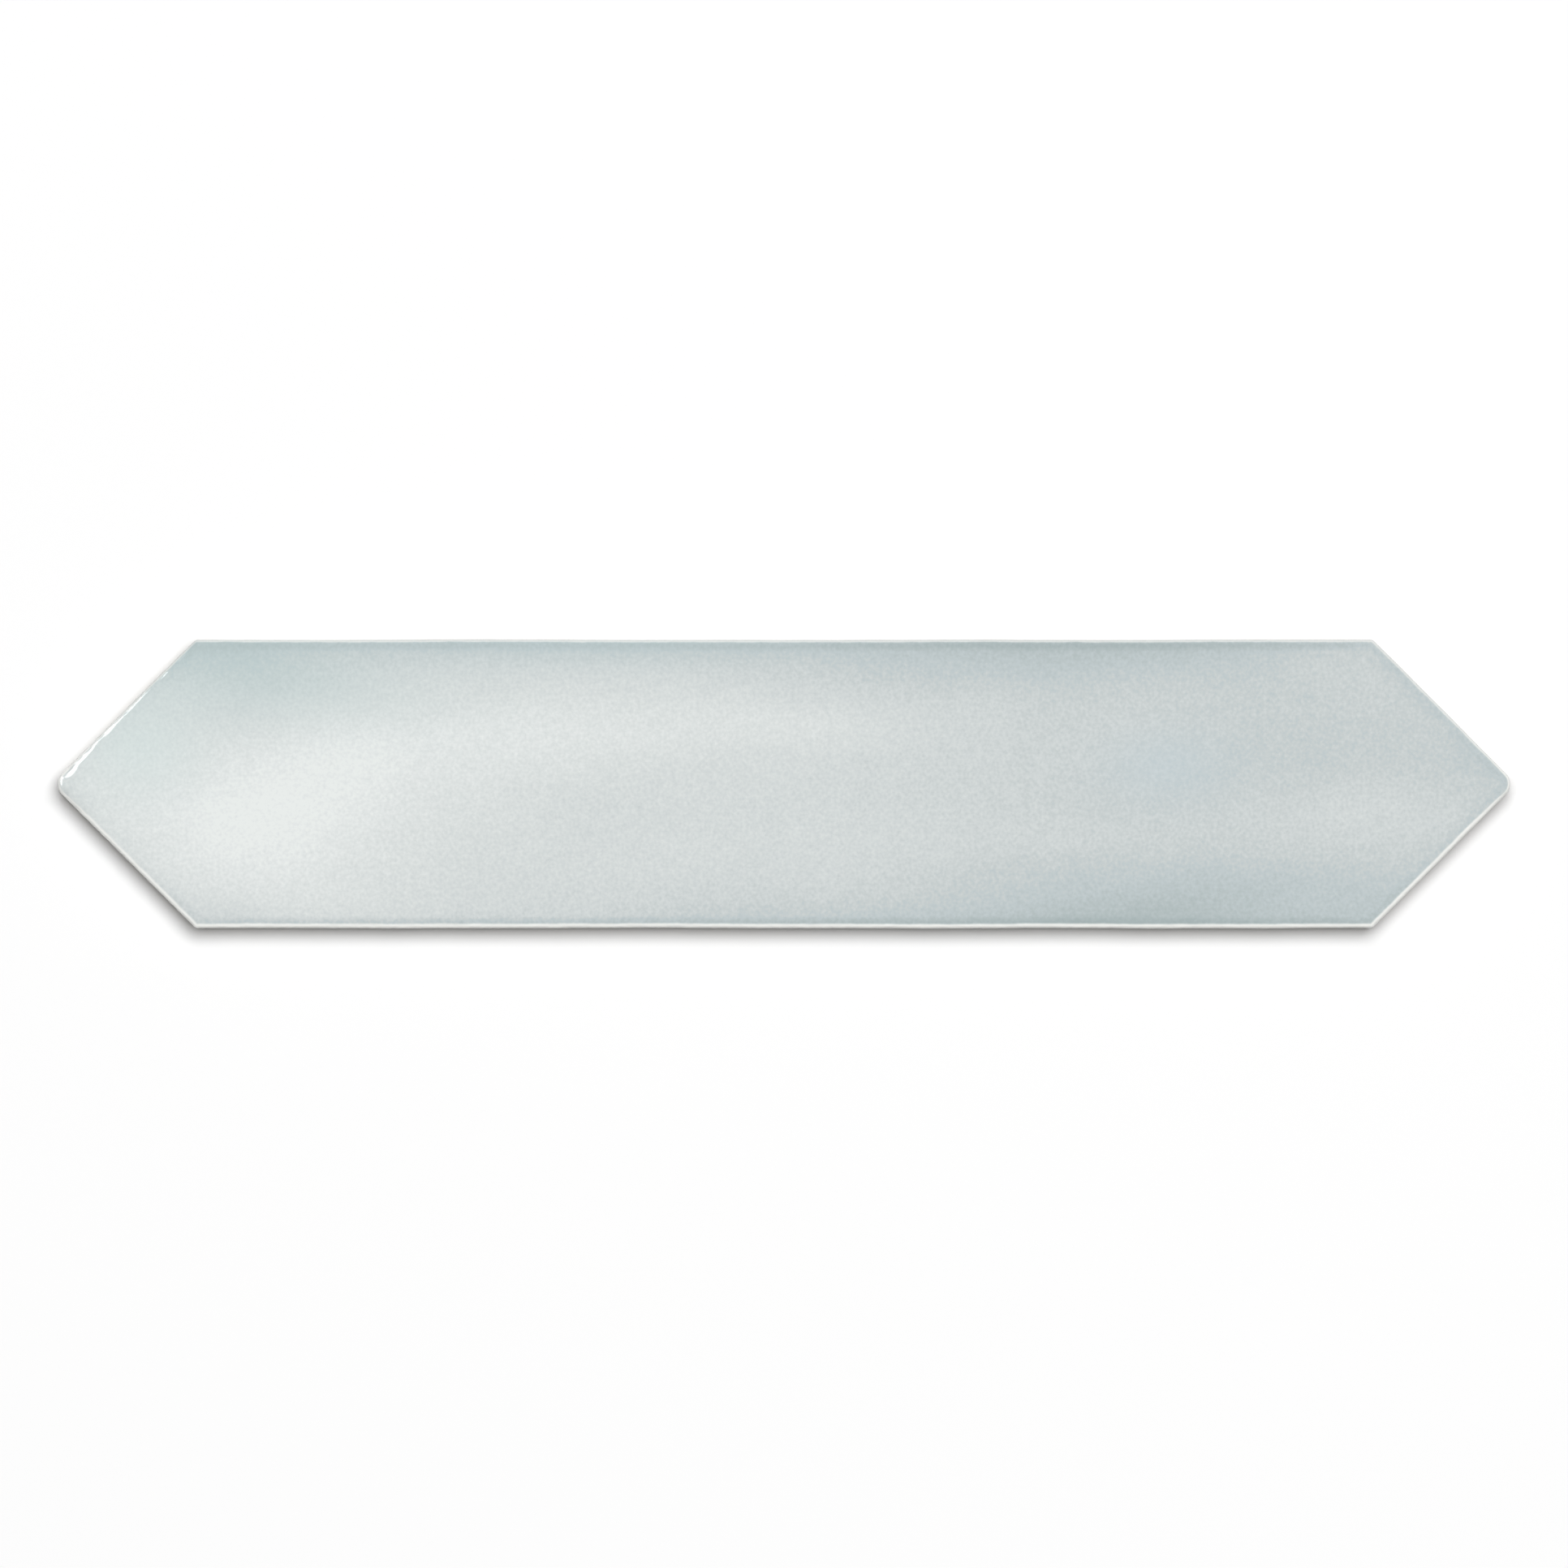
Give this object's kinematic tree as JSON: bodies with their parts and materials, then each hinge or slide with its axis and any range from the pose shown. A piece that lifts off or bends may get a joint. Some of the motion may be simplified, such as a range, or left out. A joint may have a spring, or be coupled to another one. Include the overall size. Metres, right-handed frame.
{
  "type": "pointed wall tile",
  "caption": "Long flat glazed ceramic wall tile with a pointed end at each side, cushioned face edges and a keyed back.",
  "frame": {"origin": "middle of the tile's footprint, on the plane of its back", "axes": "+X from point to point along the length, +Y across the width, +Z out of the glazed face"},
  "size_m": [0.33, 0.0654, 0.009],
  "materials": {
    "glazed_tile": "glossy pale grey-green glaze with soft cloudy shading on the face and rim, over a matt cream pressed clay body at the lower walls and back"
  },
  "bodies": {
    "root": {"tile": "glazed_tile"}
  },
  "joints": []
}
